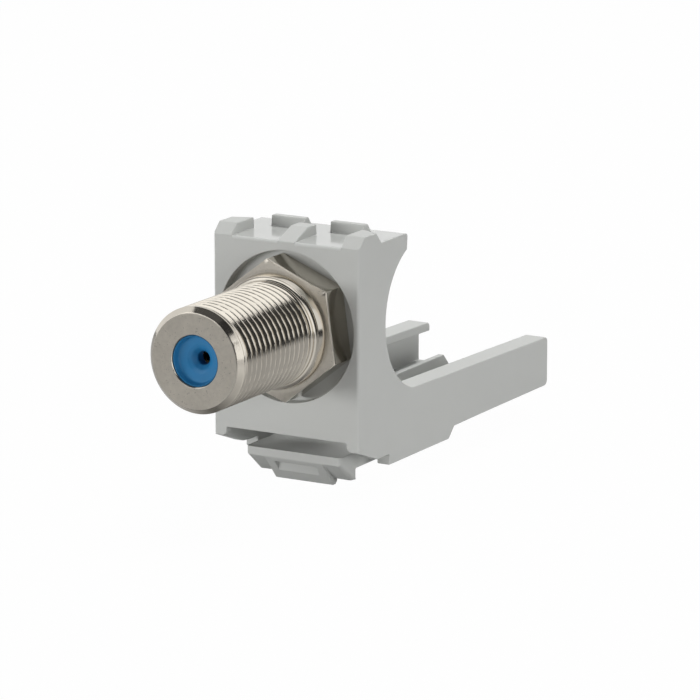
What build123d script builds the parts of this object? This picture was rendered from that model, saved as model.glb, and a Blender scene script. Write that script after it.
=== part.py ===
from build123d import *
import math
import os

# Snap-in coaxial module: a threaded splice clamped in a grey moulded carrier.
# Millimetres. X to the right seen from the front, Y towards the cable side, Z up.
# The origin is on the port axis, in the plane of the carrier's front face.

# Panel that the module snaps into
panel_front_y = 4.0  # front skin of the panel, behind the hook and the front teeth
panel_gap = 1.5  # groove that takes the panel's thickness
panel_back_y = panel_front_y + panel_gap

# Carrier shell
module_width = 14.7
front_thickness = 2.8
roof_cover = 0.8  # between the recess and the floor of the roof's valley
roof_thickness = 1.0
roof_depth = 8.65
wall_thickness = 1.25
front_low_z = -9.75  # lower edge of the front face, between the two legs
leg_low_z = -10.5  # where the legs start at the front face
ramp_end_y = 3.4
notch_z = -11.77  # flat of the legs that passes through the panel
foot_z = -12.75
foot_end_y = 16.5
foot_run = 1.05
edge_round = 0.3
roof_round = 0.35  # rear edge of the roof
foot_round = 0.35
leg_round = 0.45

# Side relief and the two arms
relief_y = 11.6
relief_radius = 6.8
arm_end_y = 35.9
arm_root_z = -6.59  # top of the arm below the middle of the relief
arm_tip_z = -7.13
arm_bottom_z = -11.75
web_thickness = 1.0
flange_thickness = 0.85
arm_corner_round = 0.5
rim_top_z = -4.3  # the relief's edge is thickened below this level
rim_front_y = 6.2
flange_front_y = 10.2

# Teeth on the roof
tooth_height = 0.97
corner_tooth_width = 1.85
middle_tooth_width = 1.75
corner_tooth_run = 1.0  # length of a corner tooth's front ramp
middle_tooth_run = 2.4
tooth_back_run = 0.9
rear_tooth_width = 3.4
rear_tooth_start = 1.3  # distance of a rear tooth from the middle
rear_tooth_flat = 0.8
rear_tooth_run = 0.75
tooth_back_slant = 0.1

# Latch lever
latch_width = 9.6
latch_side_gap = 0.4
latch_front_y = 1.2
latch_top_z = -11.53
latch_thickness = 1.5
latch_band = 0.75  # upright band above the ramps
hook_drop = 1.0
hook_flat = 0.62
grip_width = 5.9
grip_drop = 1.62
grip_flat = 0.75
grip_corner = 0.3
pocket_width = 4.2
pocket_top = 0.45  # below the grip's upper edge
pocket_height = 0.95
pocket_depth = 0.6
latch_front_round = 0.4
tail_end_y = 38.2
tail_rise = 0.35  # the tail's underside is set up behind the feet
tail_thickness = 0.9
rail_thickness = 0.6
rail_top_z = -10.4
rail_front_y = 9.0
rail_chamfer = 1.3
pivot_y = 13.5
pivot_z = -12.0
pivot_radius = 0.45
pivot_clearance = 0.08
pivot_seat = 1.0  # depth of the seat in each boss
pivot_end_gap = 0.15
boss_half_length = 1.7
boss_top_z = -10.9

# Threaded splice
hex_wall = 0.875  # from the thread's crest to the flats of hexagon and nut
thread_clearance = 0.1
recess_gap = 0.39  # round the hexagon's corners
recess_depth = 1.15
hex_thickness = 3.1
hex_turn = 8.0  # degrees, as the splice was tightened
hex_corner_fall = 0.22
front_barrel = 13.35
rear_barrel = 8.45
end_chamfer = 0.5
collar_length = 0.5
collar_rise = 0.375
lip_radius = 2.25
lip_length = 1.0
shell_bore = 3.0
bush_length = 1.0
fit_gap = 0.03

# Insulators and contact
insulator_sink = 0.15
insert_rim = 0.06  # flat rim round the dish
dish_wall_depth = 0.62
dish_wall_slope = 0.14  # how far the dish's wall leans inwards
funnel_radius = 1.28
funnel_start = 0.82
entry_radius = 0.6
entry_start = 1.42  # depth at which the straight hole begins
entry_length = 0.88
contact_radius = 0.9
contact_bore = 0.52
contact_end_gap = 0.1
contact_slot = 0.22
contact_slot_length = 4.0
contact_web = 3.0  # solid middle between the two sockets

# Nut and washer behind the front wall
washer_thickness = 0.5
washer_side_gap = 0.3  # to the side walls
washer_teeth = 10
washer_tooth_depth = 0.45
washer_tooth_gap = 0.9
nut_side_gap = 0.55  # from the nut's flats to the side walls
nut_thickness = 2.3
nut_chamfer = 0.3

# Modelling values
overrun = 1.0  # how far a cutting shape passes the face that it opens
overlap = 0.1  # how far joined shapes reach into each other
near = 0.01  # an edge this close to a plane counts as on it

# Places worked out from the sizes above; the thread's radius comes to 4.675, as on 3/8-32
half_width = module_width / 2
wall_inner = half_width - wall_thickness
nut_flats = 2 * (wall_inner - nut_side_gap)
hex_flats = nut_flats
hex_corner = hex_flats / math.sqrt(3)
thread_radius = hex_flats / 2 - hex_wall
collar_radius = thread_radius + collar_rise
recess_radius = hex_corner + recess_gap
valley_z = recess_radius + roof_cover
latch_half = latch_width / 2
arm_inner = latch_half + latch_side_gap
web_inner = half_width - web_thickness
tooth_top_z = valley_z + tooth_height
latch_bottom_z = latch_top_z - latch_thickness
hook_z = latch_bottom_z - hook_drop
grip_z = latch_bottom_z - grip_drop
band_z = latch_top_z - latch_band
hex_front_y = recess_depth - hex_thickness
front_end_y = hex_front_y - front_barrel
rear_end_y = recess_depth + rear_barrel
splice_middle_y = (front_end_y + rear_end_y) / 2
washer_front_y = front_thickness
nut_front_y = washer_front_y + washer_thickness
washer_radius = wall_inner - washer_side_gap


def block(x0, x1, y0, y1, z0, z1):
    """A box given by its six limits."""
    middle = Pos((x0 + x1) / 2, (y0 + y1) / 2, (z0 + z1) / 2)
    return middle * Box(x1 - x0, y1 - y0, z1 - z0)


def side_face(points):
    """A face drawn with Y across and Z up."""
    return make_face(Polyline(*points, close=True))


def side_slab(face, x0, x1):
    """Carries a side face from x0 to x1."""
    return extrude(Plane.YZ.offset(x0) * face, amount=x1 - x0)


def front_slab(face, y0, y1):
    """Carries a face drawn with X across and Z up from y0 to y1."""
    return extrude(Plane.XZ.offset(-y1) * face, amount=y1 - y0)


def both_sides(solid):
    """The solid and its mirror image across the middle plane."""
    return [solid, mirror(solid, about=Plane.YZ)]


def turned(points):
    """A body turned about the port axis from radius and Y pairs."""
    return revolve(make_face(Polyline(*points, close=True)), axis=Axis.Y)


def hex_prism(flats, y0, y1, turn):
    """A hexagonal bar along Y with a corner up, turned by some degrees."""
    corner = flats / math.sqrt(3)
    face = Rot(0, 0, 90 + turn) * RegularPolygon(corner, 6)
    return front_slab(face, y0, y1)


def cross_edges(body, places):
    """Edges that run along X through any of the given Y and Z pairs."""
    return [
        edge for edge in body.edges().filter_by(Axis.X)
        if any(abs(edge.center().Y - y) < near and abs(edge.center().Z - z) < near for y, z in places)
    ]


def arm_line(y):
    """Height of the arm's sloping top edge at a distance along Y."""
    share = (y - relief_y) / (arm_end_y - relief_y)
    return arm_root_z + (arm_tip_z - arm_root_z) * share


def wall_outline():
    """Side view of a wall with its leg, foot, arm and round relief."""
    wall = side_face([
        (0, leg_low_z),
        (ramp_end_y, notch_z),
        (panel_back_y, notch_z),
        (panel_back_y, foot_z),
        (foot_end_y, foot_z),
        (foot_end_y + foot_run, arm_bottom_z),
        (relief_y, arm_bottom_z),
        (relief_y, 0),
        (roof_depth, 0),
        (roof_depth, valley_z),
        (0, valley_z),
    ])
    arm = side_face([
        (roof_depth, arm_bottom_z),
        (arm_end_y, arm_bottom_z),
        (arm_end_y, arm_tip_z),
        (roof_depth, arm_line(roof_depth)),
    ])
    relief = Pos(relief_y, 0) * Circle(relief_radius)
    return wall - relief + arm


def wall():
    """The right wall, its arm as a channel, and the boss for the latch."""
    outline = wall_outline()
    flange_low = [
        (flange_front_y, arm_bottom_z),
        (arm_end_y, arm_bottom_z),
        (arm_end_y, arm_bottom_z + flange_thickness),
        (flange_front_y, arm_bottom_z + flange_thickness),
    ]
    flange_high = [
        (rim_front_y, arm_line(rim_front_y) - flange_thickness),
        (arm_end_y, arm_tip_z - flange_thickness),
        (arm_end_y, arm_tip_z),
        (rim_front_y, arm_line(rim_front_y)),
    ]
    channel = [
        (flange_front_y, arm_bottom_z + flange_thickness),
        (arm_end_y, arm_bottom_z + flange_thickness),
        (arm_end_y, arm_tip_z - flange_thickness),
        (flange_front_y, arm_line(flange_front_y) - flange_thickness),
    ]
    rim = Pos(relief_y, 0) * Circle(relief_radius + flange_thickness)
    rim = rim & side_face([
        (rim_front_y, arm_line(rim_front_y)),
        (relief_y, arm_line(rim_front_y)),
        (relief_y, rim_top_z),
        (rim_front_y, rim_top_z),
    ])
    inner = (side_face(flange_low) + side_face(flange_high) + rim) & outline
    body = side_slab(outline, wall_inner, half_width)
    body += side_slab(inner, arm_inner, wall_inner)
    body += block(arm_inner, wall_inner, pivot_y - boss_half_length, pivot_y + boss_half_length,
                  foot_z, boss_top_z)
    body -= side_slab(side_face(channel), wall_inner, web_inner)
    seat = Pos(arm_inner, pivot_y, pivot_z) * Rot(0, 90, 0)
    seat = seat * Cylinder(pivot_radius + pivot_clearance, 2 * pivot_seat)
    return body - seat


def corner_tooth():
    """The right corner tooth: its back leans forward towards the outside."""
    inner_x = half_width - corner_tooth_width

    def section(x, lean):
        return Plane.YZ.offset(x) * side_face([
            (0, valley_z - edge_round),
            (0, valley_z),
            (corner_tooth_run, tooth_top_z),
            (panel_front_y - lean, tooth_top_z),
            (panel_front_y, valley_z),
            (panel_front_y, valley_z - edge_round),
        ])

    tooth = loft([section(inner_x, tooth_back_slant), section(half_width, tooth_back_run)], ruled=True)
    column = block(inner_x, half_width, 0, panel_front_y, valley_z - edge_round, tooth_top_z)
    corner = column.edges().filter_by(Axis.Z).sort_by(lambda edge: edge.center().X - edge.center().Y)[-1]
    return tooth & fillet(corner, edge_round)


def middle_tooth():
    """The front tooth in the middle, with a long ramp."""
    face = side_face([
        (0, valley_z - edge_round),
        (0, valley_z),
        (middle_tooth_run, tooth_top_z),
        (panel_front_y - tooth_back_slant, tooth_top_z),
        (panel_front_y, valley_z - edge_round),
    ])
    return side_slab(face, -middle_tooth_width / 2, middle_tooth_width / 2)


def rear_tooth():
    """The right tooth behind the panel: upright in front, sloping behind."""
    face = side_face([
        (panel_back_y, valley_z),
        (panel_back_y + tooth_back_slant, tooth_top_z),
        (panel_back_y + rear_tooth_flat, tooth_top_z),
        (panel_back_y + rear_tooth_flat + rear_tooth_run, valley_z),
    ])
    return side_slab(face, rear_tooth_start, rear_tooth_start + rear_tooth_width)


def make_housing():
    """The carrier: front wall, roof with teeth, two walls and two arms."""
    body = block(-half_width, half_width, 0, front_thickness, front_low_z, valley_z)
    body += block(-half_width, half_width, 0, roof_depth, valley_z - roof_thickness, valley_z)
    for side in both_sides(wall()):
        body += side
    hole = thread_radius + thread_clearance
    body -= turned([
        (0, -overrun),
        (recess_radius, -overrun),
        (recess_radius, recess_depth),
        (hole, recess_depth),
        (hole, front_thickness + overrun),
        (0, front_thickness + overrun),
    ])
    front_edges = [
        edge for edge in body.edges().filter_by(Axis.Z)
        if abs(abs(edge.center().X) - half_width) < near and abs(edge.center().Y) < near
    ]
    body = fillet(front_edges + cross_edges(body, [(0, valley_z)]), edge_round)
    body = fillet(cross_edges(body, [(roof_depth, valley_z)]), roof_round)
    body = fillet(cross_edges(body, [(arm_end_y, arm_tip_z), (arm_end_y, arm_bottom_z)]), arm_corner_round)
    foot_places = [(foot_end_y, foot_z), (foot_end_y + foot_run, arm_bottom_z)]
    body = fillet(cross_edges(body, foot_places), foot_round)
    leg_edges = [
        edge for edge in body.edges()
        if abs(abs(edge.center().X) - wall_inner) < near
        and edge.center().Y < ramp_end_y
        and notch_z < edge.center().Z < leg_low_z
    ]
    body = fillet(leg_edges, leg_round)
    body += middle_tooth()
    for tooth in both_sides(corner_tooth()) + both_sides(rear_tooth()):
        body += tooth
    return body


def make_latch():
    """The lever with its hook, grip, rails and the two stubs it turns on."""
    floor_z = latch_bottom_z + tail_rise + tail_thickness
    hook_y = panel_front_y - hook_flat
    plate = side_slab(side_face([
        (latch_front_y, latch_top_z),
        (latch_front_y, band_z),
        (hook_y, hook_z),
        (panel_front_y, hook_z),
        (panel_front_y, latch_bottom_z),
        (foot_end_y, latch_bottom_z),
        (foot_end_y + tail_rise, latch_bottom_z + tail_rise),
        (tail_end_y, latch_bottom_z + tail_rise),
        (tail_end_y, floor_z),
        (rail_front_y + rail_chamfer, floor_z),
        (rail_front_y, latch_top_z),
    ]), -latch_half, latch_half)
    round_edges = [
        edge for edge in plate.edges()
        if abs(abs(edge.center().X) - latch_half) < near
        and edge.center().Y < hook_y
        and edge.center().Z < latch_top_z - near
    ]
    plate = fillet(round_edges, latch_front_round)
    grip_back_y = panel_front_y - grip_corner
    grip_front_y = panel_front_y - grip_flat
    grip = side_slab(side_face([
        (latch_front_y, band_z),
        (grip_front_y, grip_z),
        (grip_back_y, grip_z),
        (panel_front_y, grip_z + grip_corner),
        (panel_front_y, band_z),
    ]), -grip_width / 2, grip_width / 2)
    slope = (grip_front_y - latch_front_y) / (band_z - grip_z)
    pocket_y = latch_front_y + slope * pocket_top
    pocket_low_y = latch_front_y + slope * (pocket_top + pocket_height)
    pocket = side_slab(side_face([
        (pocket_y - pocket_depth, band_z - pocket_top),
        (pocket_y + pocket_depth, band_z - pocket_top),
        (pocket_low_y, band_z - pocket_top - pocket_height),
        (pocket_low_y - pocket_depth, band_z - pocket_top - pocket_height),
    ]), -pocket_width / 2, pocket_width / 2)
    rail = side_slab(side_face([
        (rail_front_y, floor_z - overlap),
        (rail_front_y, latch_top_z),
        (rail_front_y + rail_chamfer, rail_top_z),
        (tail_end_y - rail_chamfer, rail_top_z),
        (tail_end_y, rail_top_z - rail_chamfer),
        (tail_end_y, floor_z - overlap),
    ]), latch_half - rail_thickness, latch_half)
    stub_length = latch_side_gap + pivot_seat - pivot_end_gap
    stub = Pos(latch_half + stub_length / 2, pivot_y, pivot_z) * Rot(0, 90, 0)
    stub = stub * Cylinder(pivot_radius, stub_length)
    body = plate + grip - pocket
    for piece in both_sides(rail) + both_sides(stub):
        body += piece
    return body


def make_connector_body():
    """The turned shell: front barrel, hexagon, rear barrel and stepped bore."""
    body = turned([
        (lip_radius, front_end_y),
        (thread_radius - end_chamfer, front_end_y),
        (thread_radius, front_end_y + end_chamfer),
        (thread_radius, hex_front_y - collar_length),
        (collar_radius, hex_front_y),
        (collar_radius, recess_depth),
        (thread_radius, recess_depth),
        (thread_radius, rear_end_y - end_chamfer),
        (thread_radius - end_chamfer, rear_end_y),
        (shell_bore, rear_end_y),
        (shell_bore, front_end_y + lip_length),
        (lip_radius, front_end_y + lip_length),
    ])
    shaped = hex_prism(hex_flats, hex_front_y, recess_depth, hex_turn) & turned([
        (0, hex_front_y),
        (hex_flats / 2, hex_front_y),
        (hex_corner, hex_front_y + hex_corner_fall),
        (hex_corner + overlap, hex_front_y + hex_corner_fall),
        (hex_corner + overlap, recess_depth),
        (0, recess_depth),
    ])
    bore = turned([
        (0, hex_front_y - overrun),
        (shell_bore, hex_front_y - overrun),
        (shell_bore, recess_depth + overrun),
        (0, recess_depth + overrun),
    ])
    return body + (shaped - bore)


def insulator_half(face_y, lip_y, middle_y):
    """One insulator: dished nose in the lip, body in the bore, room for the contact."""
    inward = 1 if middle_y > face_y else -1
    room = contact_radius + fit_gap
    nose = lip_radius - fit_gap
    entry_y = face_y + inward * entry_start
    throat_y = entry_y + inward * entry_length
    step_y = lip_y + inward * fit_gap
    end_y = middle_y - inward * fit_gap
    return turned([
        (nose - insert_rim - dish_wall_slope, face_y + inward * dish_wall_depth),
        (nose - insert_rim, face_y),
        (nose, face_y),
        (nose, step_y),
        (shell_bore - fit_gap, step_y),
        (shell_bore - fit_gap, end_y),
        (room, end_y),
        (room, throat_y),
        (entry_radius, throat_y),
        (entry_radius, entry_y),
        (funnel_radius, face_y + inward * funnel_start),
    ])


def make_front_insulator():
    """The insulator seen at the front port."""
    return insulator_half(front_end_y + insulator_sink, front_end_y + lip_length, splice_middle_y)


def make_rear_insulator():
    """The insulator of the rear port, a mirror image of the front one."""
    return insulator_half(rear_end_y - insulator_sink, rear_end_y - bush_length, splice_middle_y)


def make_rear_bush():
    """The ring pressed into the rear of the shell to keep the insulators in."""
    return turned([
        (lip_radius, rear_end_y - bush_length),
        (shell_bore - fit_gap, rear_end_y - bush_length),
        (shell_bore - fit_gap, rear_end_y),
        (lip_radius, rear_end_y),
    ])


def make_centre_contact():
    """The double-ended socket, slotted at both ends."""
    sunk = insulator_sink + entry_start + entry_length + contact_end_gap
    front_y = front_end_y + sunk
    rear_y = rear_end_y - sunk
    body = turned([
        (0, splice_middle_y - contact_web / 2),
        (contact_bore, splice_middle_y - contact_web / 2),
        (contact_bore, front_y),
        (contact_radius, front_y),
        (contact_radius, rear_y),
        (contact_bore, rear_y),
        (contact_bore, splice_middle_y + contact_web / 2),
        (0, splice_middle_y + contact_web / 2),
    ])
    reach = 2 * contact_radius
    half_slot = contact_slot / 2
    for y in (front_y, rear_y):
        low = y - contact_slot_length
        high = y + contact_slot_length
        body -= block(-half_slot, half_slot, low, high, -reach, reach)
    return body


def make_lock_washer():
    """The washer with inner teeth between the front wall and the nut."""
    inner = thread_radius + thread_clearance
    face = Circle(washer_radius) - Circle(inner)
    for index in range(washer_teeth):
        angle = 360 * index / washer_teeth
        gap = Pos(inner, 0) * Rectangle(2 * washer_tooth_depth, washer_tooth_gap)
        face -= Rot(0, 0, angle) * gap
    return front_slab(face, washer_front_y, washer_front_y + washer_thickness)


def make_rear_nut():
    """The thin nut that clamps the splice, its flats beside the walls."""
    back_y = nut_front_y + nut_thickness
    corner = nut_flats / math.sqrt(3)
    inner = thread_radius + fit_gap
    flats = nut_flats / 2
    shape = turned([
        (inner, nut_front_y),
        (corner + overlap, nut_front_y),
        (corner + overlap, back_y - nut_chamfer),
        (flats, back_y),
        (inner, back_y),
    ])
    return hex_prism(nut_flats, nut_front_y, back_y, 0) & shape


parts = {
    "housing": make_housing,
    "release_latch": make_latch,
    "connector_body": make_connector_body,
    "front_insulator": make_front_insulator,
    "rear_insulator": make_rear_insulator,
    "centre_contact": make_centre_contact,
    "rear_bush": make_rear_bush,
    "lock_washer": make_lock_washer,
    "rear_nut": make_rear_nut,
}

os.makedirs("parts", exist_ok=True)
for name, make in parts.items():
    export_step(make(), os.path.join("parts", name + ".step"))
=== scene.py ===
import math

import bmesh
import bpy
import numpy as np
from mathutils import Matrix, Vector


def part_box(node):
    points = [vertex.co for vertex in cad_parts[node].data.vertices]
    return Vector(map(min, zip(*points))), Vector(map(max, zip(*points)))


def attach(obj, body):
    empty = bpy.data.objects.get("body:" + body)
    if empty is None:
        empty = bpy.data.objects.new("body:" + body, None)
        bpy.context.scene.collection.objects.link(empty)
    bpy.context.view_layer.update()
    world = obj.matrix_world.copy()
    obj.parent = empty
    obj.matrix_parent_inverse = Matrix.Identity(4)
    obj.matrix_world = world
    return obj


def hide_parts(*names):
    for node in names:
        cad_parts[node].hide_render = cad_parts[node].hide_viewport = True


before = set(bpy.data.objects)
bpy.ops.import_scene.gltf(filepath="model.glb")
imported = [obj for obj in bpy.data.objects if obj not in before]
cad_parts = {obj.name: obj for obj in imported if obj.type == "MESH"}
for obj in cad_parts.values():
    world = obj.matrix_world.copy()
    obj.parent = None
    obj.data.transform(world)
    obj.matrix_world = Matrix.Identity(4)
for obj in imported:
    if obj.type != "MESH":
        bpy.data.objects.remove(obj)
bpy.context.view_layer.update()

# Snap-in coaxial coupler: a nickel-plated threaded splice in a light grey moulded carrier.
# Shapes are worked out in millimetres and made metres as they go into a mesh.
# The ports lie along Y, the front one towards -Y; angles run from +X towards +Z.
mm = 0.001

splice = {
    "threadRadius": 4.675,
    "pitch": 0.79375,
    "crestFlat": 0.10,         # width of the crest's flat
    "crestRound": 0.03,        # radius of the arc beside it
    "rootFlat": 0.04,          # half the width of the groove's floor
    "grooveAtY": -13.93,       # the first groove, as it crosses grooveAtAngle
    "grooveAtAngle": 15.0,
    "threadStart": 0.55,       # behind the end face
    "threadEnd": 1.35,         # in front of the hexagon
    "threadFade": 0.45,        # length over which the thread rises and dies away
    "rearThreadStart": 0.9,    # behind the recess floor
    "endChamfer": 0.5,
    "faceRound": 0.07,         # between end face and chamfer
    "chamferRound": 0.04,      # between chamfer and barrel
    "rearRound": 0.05,
    "collarRadius": 5.05,
    "collarLength": 0.95,
    "collarFall": 0.3,         # hollow fillet from the thread up to the collar
    # small groove at the collar's foot: out from the collar, back from the hexagon's front
    "collarFoot": ((0.0, -0.02), (0.04, 0.05), (0.10, 0.05), (0.13, 0.0), (0.17, 0.0)),
    "lipRadius": 2.25,
    "lipLength": 1.0,
    "lipChamfer": 0.09,
    "lipRound": 0.02,
    "shellBore": 3.0,
    "recessFloor": 1.15,
    "hexThickness": 3.1,
    "hexFlats": 11.1,
    "hexTurn": 8.0,
    "hexRingIn": 0.06,         # from the ring's edge out to the middle of a flat
    "hexRingFall": 0.03,       # how far the ring round the collar drops to its edge
    "hexCornerFall": 0.22,
    "hexCornerRound": 0.15,
    "hexEdge": 0.07,
    "rowsPerPitch": 28,
    "rearRowsPerPitch": 12,
    "columnsPerFlat": 15,
}

insert = {
    "rimRadius": 2.2,
    # cup wall: in from the rim, depth and rounding of each corner
    "cup": ((0.0, 0.0, 0.03), (0.06, 0.05, 0.03), (0.20, 0.62, 0.16)),
    # cone under it: radius, depth and rounding
    "cone": ((1.28, 0.82, 0.06), (0.95, 1.00, 0.10)),
    "length": 12.27,
    "bodyRadius": 2.97,
    "noseLength": 0.88,
    "holeRadius": 0.6,
    "holeDepth": 1.42,
    "holeRound": 0.05,
    "roomRadius": 0.93,
    "roomDepth": 2.30,
    "columns": 128,
}

valley = {
    "low": 0.00752,            # metres; the roof's polished floor lies between these heights
    "high": 0.00766,
    "upward": 0.97,            # and its normal's Z is over this
}

edges = {
    "carrier": 0.10,
    "latch": 0.10,
    "nut": 0.07,
    "washer": 0.04,
    "shortest": 0.06,          # edges shorter than this stay sharp
    "sharp": 35.0,             # degrees; edges that turn more are rounded
    "flatCrease": 20.0,        # degrees; broad faces that turn more keep a crease between them
}

colours = {
    "carrier": (0.500, 0.508, 0.492),
    "nickel": (0.620, 0.580, 0.510),
    "blue": (0.021, 0.174, 0.372),
    "bronze": (0.640, 0.440, 0.200),
    "steel": (0.560, 0.560, 0.550),
}

lens = {
    "place": (200.24149, -341.67902, 89.61250),   # mm
    "right": (0.869745, 0.493500, 0.000862),
    "up": (-0.112033, 0.195746, 0.974234),
    "back": (0.480616, -0.847432, 0.225537),
    "millimetres": 239.0575,
    "sensor": 36.0,
}

studio = {
    "floorZ": -14.66,
    "floorSize": 3000.0,
    "floorShade": 0.47,     # what metal sees; the camera sees it nearly white
    "floorBounce": 0.60,    # what lights the object from below
    "floorFar": 0.05,       # painted shade seen by metal alone: what it sees in the floor's far part
    "farStart": 70.0,       # where that part begins, mm from the port, and how far it fades in
    "farFade": 40.0,
    "floorGlow": 0.75,      # painted reflection: brightness that metal sees in the floor to the right of the port, the floor glowing for gloss alone
    "glowLine": -11.0,      # the glow starts where X plus Y passes this, mm
    "glowFade": 14.0,       # and is full this much further on
    "whiteShare": 0.985,
    "ambient": 0.06,
    # soft lights, seen by no gloss; name: (azimuth, elevation, distance mm, width mm, height mm, watts)
    "lamps": {
        "key": (-42.0, 24.0, 480.0, 300.0, 200.0, 0.12),
        "right": (78.0, 12.0, 420.0, 300.0, 180.0, 0.85),
        "frontLow": (-28.0, 3.5, 620.0, 480.0, 90.0, 2.2),
        "overhead": (178.0, 70.0, 500.0, 300.0, 240.0, 2.3),
        "left": (-100.0, 22.0, 520.0, 400.0, 360.0, 0.5),
    },
    # cards seen by gloss alone: a dark room in front, a dim one at the left, two bright windows;
    # name: (azimuth, elevation, distance mm, width mm, height mm, brightness)
    "cards": {
        "darkRoom": (21.0, 12.5, 380.0, 420.0, 206.0, 0.05),
        "darkUpper": (28.5, 42.0, 380.0, 205.0, 290.0, 0.04),
        "darkCeiling": (10.0, 78.0, 370.0, 520.0, 400.0, 0.10),
        "leftRoom": (-36.0, 6.0, 380.0, 230.0, 130.0, 0.42),
        "brightFront": (-27.0, 41.0, 430.0, 560.0, 220.0, 1.5),
        "brightRight": (76.0, 15.0, 430.0, 390.0, 260.0, 1.3),
    },
}


class Wire:
    # an output socket; arithmetic on it adds Math nodes to the same material
    def __init__(self, tree, socket):
        self.tree = tree
        self.socket = socket

    def join(self, operation, first, second):
        node = self.tree.nodes.new("ShaderNodeMath")
        node.operation = operation
        for index, value in enumerate((first, second)):
            if isinstance(value, Wire):
                self.tree.links.new(value.socket, node.inputs[index])
            else:
                node.inputs[index].default_value = value
        return Wire(self.tree, node.outputs[0])

    def __add__(self, other):
        return self.join("ADD", self, other)

    def __radd__(self, other):
        return self.join("ADD", other, self)

    def __sub__(self, other):
        return self.join("SUBTRACT", self, other)

    def __rsub__(self, other):
        return self.join("SUBTRACT", other, self)

    def __mul__(self, other):
        return self.join("MULTIPLY", self, other)

    def __rmul__(self, other):
        return self.join("MULTIPLY", other, self)

    def __truediv__(self, other):
        return self.join("DIVIDE", self, other)

    def __pow__(self, other):
        return self.join("POWER", self, other)

    def __gt__(self, other):
        return self.join("GREATER_THAN", self, other)

    def __lt__(self, other):
        return self.join("LESS_THAN", self, other)

    def largest(self, other):
        return self.join("MAXIMUM", self, other)

    def smallest(self, other):
        return self.join("MINIMUM", self, other)


class Finish:
    # a material under construction, with a Principled shader as its surface
    def __init__(self, name):
        self.material = bpy.data.materials.new(name)
        self.material.use_nodes = True
        self.tree = self.material.node_tree
        self.tree.nodes.clear()
        self.output = self.tree.nodes.new("ShaderNodeOutputMaterial")
        self.surface = None

    def add(self, kind, settings=None, out=0, **values):
        # any node: settings first, then socket values or links by name, spaces as underscores
        node = self.tree.nodes.new("ShaderNode" + kind)
        for key, value in (settings or {}).items():
            setattr(node, key, value)
        for key, value in values.items():
            socket = self.findSocket(node, key)
            if isinstance(value, Wire):
                self.tree.links.new(value.socket, socket)
            else:
                socket.default_value = value
        return Wire(self.tree, node.outputs[out])

    def findSocket(self, node, key):
        name = key.replace("_", " ")
        found = [socket for socket in node.inputs if socket.name == name and socket.enabled]
        if not found:
            raise ValueError("no socket " + name + " on " + node.bl_idname)
        return found[0]

    def principled(self, **values):
        self.surface = self.add("BsdfPrincipled", None, 0, **values)
        self.tree.links.new(self.surface.socket, self.output.inputs["Surface"])
        return self.material

    def place(self):
        return self.add("TexCoord", None, 3)   # Object coordinates

    def parts(self, vector=None):
        node = self.tree.nodes.new("ShaderNodeSeparateXYZ")
        self.tree.links.new((vector or self.place()).socket, node.inputs[0])
        return [Wire(self.tree, output) for output in node.outputs]

    def noise(self, scale, detail=3.0, rough=0.5, vector=None):
        vector = vector or self.place()
        return self.add("TexNoise", None, 0, Vector=vector, Scale=scale, Detail=detail, Roughness=rough)

    def tint(self, amount, dark, light):
        # a colour between two shades by a 0 to 1 amount
        return self.add("Mix", {"data_type": "RGBA"}, 2, Factor=amount, A=dark + (1.0,), B=light + (1.0,))

    def bump(self, height, distance, strength=1.0, under=None):
        values = {"Height": height, "Distance": distance, "Strength": strength}
        if under is not None:
            values["Normal"] = under
        return self.add("Bump", None, 0, **values)


def shade(colour, factor):
    return tuple(min(1.0, channel * factor) for channel in colour)


def makePlastic(name, colour):
    # satin moulded plastic: faint clouding and a fine eroded grain, polished on the roof's valley floor
    finish = Finish(name)
    z = finish.parts()[2]
    upward = finish.parts(finish.add("TexCoord", None, 1))[2]   # the normal's Z
    cloud = finish.noise(160.0, 4.0)
    grain = finish.noise(9000.0, 2.0)
    flow = finish.noise(700.0, 3.0)
    base = finish.tint(cloud, shade(colour, 0.97), shade(colour, 1.03))
    polished = (z > valley["low"]) * (z < valley["high"]) * (upward > valley["upward"])
    grained = 1.0 - polished
    rough = 0.48 + (flow - 0.5) * 0.10 * grained - polished * 0.40
    skin = finish.bump(grain * grained, 0.000004, 0.35)
    skin = finish.bump(flow * grained, 0.00002, 0.12, skin)
    return finish.principled(Base_Color=base, Roughness=rough, Normal=skin, IOR=1.5)


def makeNickel(name, colour, faceY, hexY):
    # plated brass, bright where it was turned; the end face and the hexagon's front are duller, with a
    # pebbled grain and a lighter base colour, painted brightening that stands in for the light they
    # reflect; tool lines run round the port's axis
    finish = Finish(name)
    y = finish.parts()[1]
    dull = (y < (faceY + 0.02) * mm).largest((y > (hexY - 0.02) * mm) * (y < (hexY + 0.30) * mm))
    spots = finish.noise(2600.0, 3.0, 0.6)
    grain = finish.noise(11000.0, 3.0, 0.6)
    specks = (finish.noise(5200.0, 1.0) > 0.70) * dull
    # random mottling, and on the dull faces a lift of the base colour: painted brightening for what they
    # reflect
    mottleAndPaintedSheen = finish.noise(420.0, 5.0) * 0.5 + spots * (0.2 + dull * 0.8) - specks * 1.5
    base = finish.tint(mottleAndPaintedSheen, shade(colour, 0.86), shade(colour, 1.20))
    axial = finish.add("CombineXYZ", None, 0, Y=y)
    lines = finish.noise(5200.0, 2.0, 0.6, axial)
    skin = finish.bump(grain * (0.3 + dull * 1.1), 0.000010, 0.5)
    skin = finish.bump(lines, 0.000004, 0.4, skin)
    roughness = 0.12 + dull * 0.18 + (spots - 0.5) * 0.12
    return finish.principled(Base_Color=base, Metallic=1.0, Roughness=roughness, Normal=skin)


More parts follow.
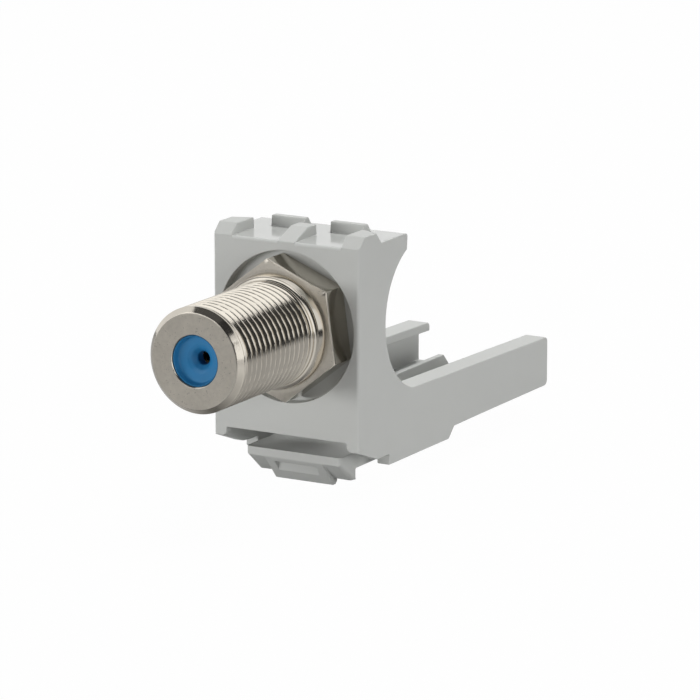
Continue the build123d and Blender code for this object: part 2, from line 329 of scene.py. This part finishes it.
def makeBlue(name, colour):
    # smooth blue insert with faint turned rings about the port's axis
    finish = Finish(name)
    x, z = finish.parts()[::2]
    radius = (x * x + z * z) ** 0.5
    cloud = finish.noise(500.0, 3.0)
    radial = finish.add("CombineXYZ", None, 0, X=radius)
    rings = finish.noise(9000.0, 1.0, 0.5, radial)
    base = finish.tint(cloud, shade(colour, 0.94), shade(colour, 1.06))
    skin = finish.bump(rings, 0.000006, 0.4)
    return finish.principled(Base_Color=base, Roughness=0.38 + (cloud - 0.5) * 0.1, Normal=skin, IOR=1.5)


def makeBright(name, colour, rough):
    # plain plated metal for the small pieces behind the wall
    finish = Finish(name)
    cloud = finish.noise(700.0, 4.0)
    grain = finish.noise(7000.0, 3.0)
    base = finish.tint(cloud, shade(colour, 0.92), shade(colour, 1.06))
    skin = finish.bump(grain, 0.000006, 0.4)
    roughness = rough + (grain - 0.5) * 0.2
    return finish.principled(Base_Color=base, Metallic=1.0, Roughness=roughness, Normal=skin)


def gridMesh(name, points):
    # rows by columns of points in mm; quads join neighbours, and rows and columns both close on
    # themselves, index + 1 modulo their count; faces are turned outwards by the volume's sign
    rows, columns = points.shape[:2]
    row, column = np.meshgrid(np.arange(rows), np.arange(columns), indexing="ij")
    nextRow = (row + 1) % rows
    nextColumn = (column + 1) % columns
    quads = np.stack([
        row * columns + column,
        row * columns + nextColumn,
        nextRow * columns + nextColumn,
        nextRow * columns + column,
    ], axis=-1).reshape(-1, 4)
    flat = points.reshape(-1, 3) * mm
    a, b, c, d = (flat[quads[:, k]] for k in range(4))
    volume = np.einsum("ij,ij->i", a, np.cross(b, c)).sum() + np.einsum("ij,ij->i", a, np.cross(c, d)).sum()
    if volume < 0:
        quads = quads[:, ::-1]
    mesh = bpy.data.meshes.new(name)
    mesh.vertices.add(len(flat))
    mesh.vertices.foreach_set("co", flat.ravel())
    mesh.loops.add(quads.size)
    mesh.loops.foreach_set("vertex_index", np.ascontiguousarray(quads).ravel())
    mesh.polygons.add(len(quads))
    mesh.polygons.foreach_set("loop_start", np.arange(len(quads)) * 4)
    mesh.polygons.foreach_set("use_smooth", np.ones(len(quads), bool))
    mesh.update(calc_edges=True)
    mesh.validate()
    return mesh


def putPiece(name, mesh, material, body, nodes, sharp=30.0):
    # links a finished mesh, gives it its finish and its CAD body, and hides what it stands for
    mesh.set_sharp_from_angle(angle=math.radians(sharp))
    mesh.materials.clear()
    mesh.materials.append(material)
    piece = bpy.data.objects.new(name, mesh)
    bpy.context.scene.collection.objects.link(piece)
    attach(piece, body)
    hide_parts(*nodes)
    return piece


def roundProfile(points, steps=4):
    # (radius, y, rounding) corners: each corner is cut back by its rounding and filled with a
    # quadratic curve, so that a turned edge catches the light; one more point on either side of
    # the curve keeps the faces beside it flat
    outline = []
    count = len(points)
    for index, (radius, y, rounding) in enumerate(points):
        here = np.array([radius, y])
        if rounding == 0:
            outline.append(here)
            continue
        before = np.array(points[index - 1][:2]) - here
        after = np.array(points[(index + 1) % count][:2]) - here
        backReach, frontReach = np.linalg.norm(before), np.linalg.norm(after)
        start = here + before / backReach * rounding
        end = here + after / frontReach * rounding
        outline.append(here + before / backReach * min(2 * rounding, 0.45 * backReach))
        for share in np.linspace(0, 1, steps):
            outline.append((1 - share) ** 2 * start + 2 * share * (1 - share) * here + share ** 2 * end)
        outline.append(here + after / frontReach * min(2 * rounding, 0.45 * frontReach))
    return np.array(outline)


def turnedRing(profile, columns):
    # a closed section of (radius, y) carried round the Y axis
    angle = np.linspace(0, 2 * np.pi, columns, endpoint=False)
    radius = profile[:, 0][:, None]
    y = np.repeat(profile[:, 1][:, None], columns, axis=1)
    return np.stack([radius * np.cos(angle), y, radius * np.sin(angle)], axis=-1)


def smoothStep(low, high, value):
    # 0 below low, 1 above high, and an S-shaped rise between them
    share = np.clip((value - low) / (high - low), 0, 1)
    return share * share * (3 - 2 * share)


def hexColumns():
    # angles of the columns: each flat has even columns and three close ones at either corner
    tight = np.array([0.0, 0.25, 0.5, 0.7])
    middle = np.linspace(2.4, 57.6, splice["columnsPerFlat"])
    flat = np.concatenate([tight, middle, 60.0 - tight[:0:-1]])
    corners = 90.0 + splice["hexTurn"] + 60.0 * np.arange(6)
    return np.radians((corners[:, None] + flat[None, :]).ravel()), np.tile(flat, 6)


def hexRadius(flat):
    # distance of the hexagon's side from the axis: apothem over the cosine of the angle from the
    # flat's middle, with the corner replaced by a small arc
    apothem = splice["hexFlats"] / 2
    fromCorner = np.radians(np.minimum(flat, 60.0 - flat))
    side = apothem / np.cos(np.radians(30.0) - fromCorner)
    roundness = splice["hexCornerRound"]
    centre = (apothem - roundness) / math.cos(math.radians(30.0))
    inside = np.maximum(roundness ** 2 - (centre * np.sin(fromCorner)) ** 2, 0)
    arc = centre * np.cos(fromCorner) + np.sqrt(inside)
    tangent = math.atan2(roundness / 2, centre + roundness * math.cos(math.radians(30.0)))
    return np.where(fromCorner < tangent, np.minimum(side, arc), side)


def threadRadius(y, angle, low, high):
    # crest radius less a drop that grows with the distance from the crest: none on its narrow flat,
    # then an arc, then a straight flank at 60 degrees down to the floor of the groove; the groove
    # moves one pitch a turn, and the drop fades at both ends
    pitch = splice["pitch"]
    middle = splice["grooveAtY"] - (angle - math.radians(splice["grooveAtAngle"])) / (2 * np.pi) * pitch
    phase = (y - middle) / pitch
    fromGroove = np.maximum(np.abs(phase - np.round(phase)) * pitch, splice["rootFlat"])
    fromCrest = np.maximum(pitch / 2 - splice["crestFlat"] / 2 - fromGroove, 0)
    bend = splice["crestRound"]
    arcEnd = bend * math.sin(math.radians(60.0))
    arc = bend - np.sqrt(np.maximum(bend ** 2 - fromCrest ** 2, 0))
    flank = bend / 2 + (fromCrest - arcEnd) * math.tan(math.radians(60.0))
    reach = splice["threadFade"]
    fade = smoothStep(low, low + reach, y) * (1 - smoothStep(high - reach, high, y))
    return splice["threadRadius"] - np.where(fromCrest < arcEnd, arc, flank) * fade


def makeSplice(material):
    # the whole turned shell as one closed grid: end face, chamfer, thread, collar, hexagon,
    # rear barrel with its thread, rear end and the stepped bore
    angle, flat = hexColumns()
    low, high = (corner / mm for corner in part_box("connector_body"))
    front, rear = low.y, high.y
    hexFront = splice["recessFloor"] - splice["hexThickness"]
    crest = splice["threadRadius"]
    chamfer = splice["endChamfer"]
    lip = splice["lipRadius"]
    lipCut = splice["lipChamfer"]
    collar = splice["collarRadius"]
    collarStart = hexFront - splice["collarLength"]
    filletStart = collarStart - splice["collarFall"]
    side = hexRadius(flat)
    roundFace = splice["hexFlats"] / 2 - splice["hexRingIn"]
    cornerRadius = splice["hexFlats"] / math.sqrt(3)
    edge = splice["hexEdge"]
    rows = []

    def addRow(radius, y):
        rows.append((np.broadcast_to(radius, angle.shape), np.broadcast_to(y, angle.shape)))

    def addTurned(points):
        for radius, y in points:
            addRow(radius, y)

    addTurned(roundProfile([
        (lip, front + 0.5, 0),
        (lip, front + lipCut, splice["lipRound"]),
        (lip + lipCut, front, splice["lipRound"]),
        (crest - chamfer, front, splice["faceRound"]),
        (crest, front + chamfer, splice["chamferRound"]),
        (crest, front + chamfer + 0.2, 0),
    ])[:-2])
    threadLow = front + splice["threadStart"]
    threadHigh = hexFront - splice["threadEnd"]
    count = int((filletStart - threadLow) / splice["pitch"] * splice["rowsPerPitch"])
    for y in np.linspace(threadLow + 0.02, filletStart, count):
        addRow(threadRadius(y, angle, threadLow, threadHigh), y)
    for share in np.linspace(0.15, 0.95, 8):   # hollow fillet up to the collar
        turn = share * np.pi / 2
        radius = crest + (collar - crest) * (1 - math.cos(turn))
        addRow(radius, filletStart + splice["collarFall"] * math.sin(turn))
    addRow(collar - 0.01, collarStart + 0.01)
    addRow(collar, collarStart + 0.04)
    addTurned([(collar + out, hexFront + back) for out, back in splice["collarFoot"]])
    ringFall = splice["hexRingFall"]
    addRow(roundFace - 0.03, hexFront + ringFall * 0.9)
    addRow(roundFace, hexFront + ringFall)
    fall = ringFall + (splice["hexCornerFall"] - ringFall) * (side - roundFace) / (cornerRadius - roundFace)
    for share in (0.06, 0.12, 0.5, 0.94):
        addRow(roundFace + (side - roundFace) * share, hexFront + ringFall + (fall - ringFall) * share)
    addRow(side - edge * 0.3, hexFront + fall + edge * 0.3)
    addRow(side, hexFront + fall + edge)
    for y in np.linspace(hexFront + 0.45, splice["recessFloor"] - 0.08, 5):
        addRow(side, y)
    addRow(side, splice["recessFloor"])
    addRow(crest, splice["recessFloor"])
    rearLow = splice["recessFloor"] + splice["rearThreadStart"]
    rearHigh = rear - chamfer + 0.1
    count = int((rear - chamfer - rearLow) / splice["pitch"] * splice["rearRowsPerPitch"])
    for y in np.linspace(rearLow, rear - chamfer, count):
        addRow(threadRadius(y, angle, rearLow, rearHigh), y)
    addTurned(roundProfile([
        (crest - 0.2, rear - chamfer + 0.2, 0),
        (crest - chamfer, rear, splice["rearRound"]),
        (splice["shellBore"], rear, splice["rearRound"]),
        (splice["shellBore"], rear - 0.5, 0),
        (splice["shellBore"], front + splice["lipLength"], 0),
        (lip, front + splice["lipLength"], 0),
    ]))
    radius = np.stack([row[0] for row in rows])
    y = np.stack([row[1] for row in rows])
    points = np.stack([radius * np.cos(angle), y, radius * np.sin(angle)], axis=-1)
    mesh = gridMesh("connectorBody", points)
    putPiece("connectorBody", mesh, material, "carrier", ["connector_body"], 38.0)
    print("splice made:", len(mesh.polygons), "faces")


def makeInsert(name, node, material, faceY, inward):
    # a turned insert: rim, steep cup wall, shallow cone and funnel down to the conductor's hole
    rim = insert["rimRadius"]
    section = [(rim - inset, depth, rounding) for inset, depth, rounding in insert["cup"]]
    section += insert["cone"]
    section += [
        (insert["holeRadius"], insert["holeDepth"], insert["holeRound"]),
        (insert["holeRadius"], insert["roomDepth"], 0),
        (insert["roomRadius"], insert["roomDepth"], 0),
        (insert["roomRadius"], insert["length"], 0),
        (insert["bodyRadius"], insert["length"], 0),
        (insert["bodyRadius"], insert["noseLength"], 0),
        (rim, insert["noseLength"], 0),
    ]
    corners = [(radius, faceY + inward * depth, rounding) for radius, depth, rounding in section]
    outline = roundProfile(corners, 5)
    mesh = gridMesh(name, turnedRing(outline, insert["columns"]))
    putPiece(name, mesh, material, "carrier", [node], 40.0)


def setNormals(mesh):
    # corner normal = sum of area times normal over the faces round the vertex that turn little from
    # the corner's own face; a rounding strip (material 1) counts a thousandth, so that broad faces
    # stay flat and the strips run tangent into them
    faces, corners = len(mesh.polygons), len(mesh.loops)
    vertex = np.empty(corners, np.int32)
    sides = np.empty(faces, np.int32)
    strip = np.empty(faces, np.int32)
    area = np.empty(faces, np.float32)
    normal = np.empty(faces * 3, np.float32)
    mesh.loops.foreach_get("vertex_index", vertex)
    mesh.polygons.foreach_get("loop_total", sides)
    mesh.polygons.foreach_get("material_index", strip)
    mesh.polygons.foreach_get("area", area)
    mesh.polygons.foreach_get("normal", normal)
    order = np.argsort(vertex, kind="stable")
    face = np.repeat(np.arange(faces), sides)[order]
    here = vertex[order]
    own = normal.reshape(-1, 3)[face]
    rounded = strip[face] > 0
    weighted = own * (area[face] * np.where(rounded, 0.001, 1.0) * 1e6)[:, None]
    total = weighted.copy()
    loose, strict = (math.cos(math.radians(edges[key])) for key in ("sharp", "flatCrease"))
    for shift in range(1, np.bincount(vertex).max()):
        turn = np.einsum("ij,ij->i", own[shift:], own[:-shift])
        limit = np.where(rounded[shift:] | rounded[:-shift], loose, strict)
        near = (here[shift:] == here[:-shift]) & (turn > limit)
        total[shift:][near] += weighted[:-shift][near]
        total[:-shift][near] += weighted[shift:][near]
    total /= np.maximum(np.linalg.norm(total, axis=1), 1e-12)[:, None]
    result = np.empty_like(total)
    result[order] = total
    mesh.normals_split_custom_set(result.tolist())
    mesh.polygons.foreach_set("material_index", np.zeros(faces, np.int32))


def edgedCopy(name, node, material, body, width, segments=3):
    # a copy of a CAD node with its triangles merged into whole faces and its edges rounded; the
    # rounding isn't clamped, because the shortest edge would then set its width everywhere, so
    # the slivers where fillets end stay sharp instead
    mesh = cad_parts[node].data.copy()
    mesh.name = name
    shape = bmesh.new()
    shape.from_mesh(mesh)
    bmesh.ops.remove_doubles(shape, verts=shape.verts, dist=2e-7)
    bmesh.ops.dissolve_limit(shape, angle_limit=math.radians(0.7), verts=shape.verts, edges=shape.edges)
    bmesh.ops.recalc_face_normals(shape, faces=shape.faces)
    for face in shape.faces:
        face.smooth = True
    weight = shape.edges.layers.float.new("bevel_weight_edge")
    for edge in shape.edges:
        if edge.calc_face_angle(0.0) > math.radians(edges["sharp"]):
            if edge.calc_length() > edges["shortest"] * mm:
                edge[weight] = 1.0
            else:
                edge.smooth = False
    shape.to_mesh(mesh)
    shape.free()
    mesh.materials.clear()
    mesh.materials.append(material)
    mesh.materials.append(material)
    holder = bpy.data.objects.new(name + "Source", mesh)
    bpy.context.scene.collection.objects.link(holder)
    rounding = holder.modifiers.new("edges", "BEVEL")
    rounding.width = width * mm
    rounding.segments = segments
    rounding.limit_method = "WEIGHT"
    rounding.use_clamp_overlap = False
    rounding.miter_outer = "MITER_ARC"
    rounding.material = 1
    bpy.context.view_layer.update()
    solid = bpy.data.meshes.new_from_object(holder.evaluated_get(bpy.context.evaluated_depsgraph_get()))
    solid.name = name
    bpy.data.objects.remove(holder)
    setNormals(solid)
    solid.materials.clear()
    solid.materials.append(material)
    piece = bpy.data.objects.new(name, solid)
    bpy.context.scene.collection.objects.link(piece)
    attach(piece, body)
    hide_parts(node)
    print(name, "made:", len(solid.polygons), "faces")
    return piece


def finishNode(node, material):
    # gives a CAD node that stays as it is its own finish
    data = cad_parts[node].data
    data.materials.clear()
    data.materials.append(material)


def aim(azimuth, elevation):
    # unit vector from the object towards a place round it; azimuth 0 is the front, 90 the right
    turn, rise = math.radians(azimuth), math.radians(elevation)
    return Vector((math.sin(turn) * math.cos(rise), -math.cos(turn) * math.cos(rise), math.sin(rise)))


def facing(azimuth, elevation, distance):
    # where a lamp or card stands, turned so that its face looks at the object
    away = aim(azimuth, elevation)
    matrix = away.to_track_quat("Z", "Y").to_matrix().to_4x4()
    matrix.translation = away * distance * mm
    return matrix


def makeFloor():
    size = studio["floorSize"] / 2
    points = np.array([[-size, -size], [size, -size], [size, size], [-size, size]])
    corners = np.column_stack([points, np.full(4, studio["floorZ"])]) * mm
    mesh = bpy.data.meshes.new("studioFloor")
    mesh.from_pydata(corners.tolist(), [], [(0, 1, 2, 3)])
    floor = bpy.data.objects.new("studioFloor", mesh)
    bpy.context.scene.collection.objects.link(floor)
    finish = Finish("studioFloor")
    path = finish.tree.nodes.new("ShaderNodeLightPath")
    rays = ("Is Camera Ray", "Is Glossy Ray", "Is Diffuse Ray")
    seen, mirrored, bounced = (Wire(finish.tree, path.outputs[name]) for name in rays)
    x, y = finish.parts()[:2]
    # painted reflection and painted shade seen by metal alone: glow, a ramp along X plus Y in front of the
    # carrier, whitens the floor; far, a ramp along the distance from the port on the right half, darkens it
    glow = (x + y - studio["glowLine"] * mm) / (studio["glowFade"] * mm)
    glow = glow.largest(0.0).smallest(1.0) * (y < 0.0)
    far = ((x * x + y * y) ** 0.5 - studio["farStart"] * mm) / (studio["farFade"] * mm)
    far = far.largest(0.0).smallest(1.0) * (x > 0.0)
    grey = studio["floorShade"] + bounced * (studio["floorBounce"] - studio["floorShade"])
    grey = grey - mirrored * far * (studio["floorShade"] - studio["floorFar"])
    albedo = finish.add("CombineColor", None, 0, Red=grey, Green=grey, Blue=grey)
    matte = finish.add("BsdfDiffuse", None, 0, Color=albedo)
    white = finish.add("Emission", None, 0, Color=(1.0, 1.0, 1.0, 1.0), Strength=1.0)
    mix = finish.tree.nodes.new("ShaderNodeMixShader")
    share = seen * studio["whiteShare"] + mirrored * glow * studio["floorGlow"]
    finish.tree.links.new(share.socket, mix.inputs[0])
    finish.tree.links.new(matte.socket, mix.inputs[1])
    finish.tree.links.new(white.socket, mix.inputs[2])
    finish.tree.links.new(mix.outputs[0], finish.output.inputs["Surface"])
    mesh.materials.append(finish.material)


def makeCards():
    # cards round the set that only gloss sees: they shape what the metal mirrors, cast no shadow
    # and stay out of every view
    for name, (azimuth, elevation, distance, width, height, brightness) in studio["cards"].items():
        mesh = bpy.data.meshes.new(name)
        x, y = width / 2 * mm, height / 2 * mm
        mesh.from_pydata([(-x, -y, 0), (x, -y, 0), (x, y, 0), (-x, y, 0)], [], [(0, 1, 2, 3)])
        mesh.transform(facing(azimuth, elevation, distance))
        card = bpy.data.objects.new(name, mesh)
        card.visible_camera = False
        card.visible_diffuse = False
        card.visible_shadow = False
        bpy.context.scene.collection.objects.link(card)
        finish = Finish(name)
        glow = finish.add("Emission", None, 0, Strength=brightness)
        finish.tree.links.new(glow.socket, finish.output.inputs["Surface"])
        mesh.materials.append(finish.material)


def makeLamps():
    for name, (azimuth, elevation, distance, width, height, watts) in studio["lamps"].items():
        data = bpy.data.lights.new(name, "AREA")
        data.shape = "RECTANGLE"
        data.size = width * mm
        data.size_y = height * mm
        data.energy = watts
        lamp = bpy.data.objects.new(name, data)
        lamp.visible_camera = False
        lamp.visible_glossy = False
        lamp.matrix_world = facing(azimuth, elevation, distance)
        bpy.context.scene.collection.objects.link(lamp)


def makeWorld():
    # white where the camera, the gloss or a clear piece sees it, and a low even light otherwise
    world = bpy.data.worlds.new("studio")
    world.use_nodes = True
    tree = world.node_tree
    tree.nodes.clear()
    path = tree.nodes.new("ShaderNodeLightPath")
    rays = ("Is Camera Ray", "Is Glossy Ray", "Is Transmission Ray")
    camera, glossy, through = (Wire(tree, path.outputs[name]) for name in rays)
    seen = camera.largest(glossy).largest(through)
    strength = studio["ambient"] + seen * (1.0 - studio["ambient"])
    light = tree.nodes.new("ShaderNodeBackground")
    light.inputs["Color"].default_value = (1.0, 1.0, 1.0, 1.0)
    tree.links.new(strength.socket, light.inputs["Strength"])
    output = tree.nodes.new("ShaderNodeOutputWorld")
    tree.links.new(light.outputs[0], output.inputs["Surface"])
    bpy.context.scene.world = world


def makeCamera():
    data = bpy.data.cameras.new("camera")
    data.lens = lens["millimetres"]
    data.sensor_width = lens["sensor"]
    data.clip_start = 0.01
    data.clip_end = 10.0
    camera = bpy.data.objects.new("camera", data)
    turn = Matrix((lens["right"], lens["up"], lens["back"])).transposed()
    camera.matrix_world = Matrix.Translation(Vector(lens["place"]) * mm) @ turn.to_4x4()
    bpy.context.scene.collection.objects.link(camera)
    bpy.context.scene.camera = camera


makeCamera()
makeWorld()
makeLamps()
makeFloor()
makeCards()
bpy.context.scene.view_settings.view_transform = "Standard"
print("studio made")

carrierPlastic = makePlastic("carrierPlastic", colours["carrier"])
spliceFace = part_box("connector_body")[0].y / mm
nickel = makeNickel("nickel", colours["nickel"], spliceFace, splice["recessFloor"] - splice["hexThickness"])
plated = makeBright("platedNut", colours["nickel"], 0.28)
springSteel = makeBright("springSteel", colours["steel"], 0.32)
bronze = makeBright("contactBronze", colours["bronze"], 0.25)
blue = makeBlue("blueInsert", colours["blue"])
print("finishes made")

makeSplice(nickel)
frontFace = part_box("front_insulator")[0].y / mm
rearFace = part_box("rear_insulator")[1].y / mm
makeInsert("frontInsert", "front_insulator", blue, frontFace, 1)
makeInsert("rearInsert", "rear_insulator", blue, rearFace, -1)
edgedCopy("carrierShell", "housing", carrierPlastic, "carrier", edges["carrier"])
edgedCopy("latchLever", "release_latch", carrierPlastic, "latch", edges["latch"])
edgedCopy("clampNut", "rear_nut", plated, "carrier", edges["nut"], 2)
edgedCopy("toothWasher", "lock_washer", springSteel, "carrier", edges["washer"], 2)
finishNode("centre_contact", bronze)
finishNode("rear_bush", plated)
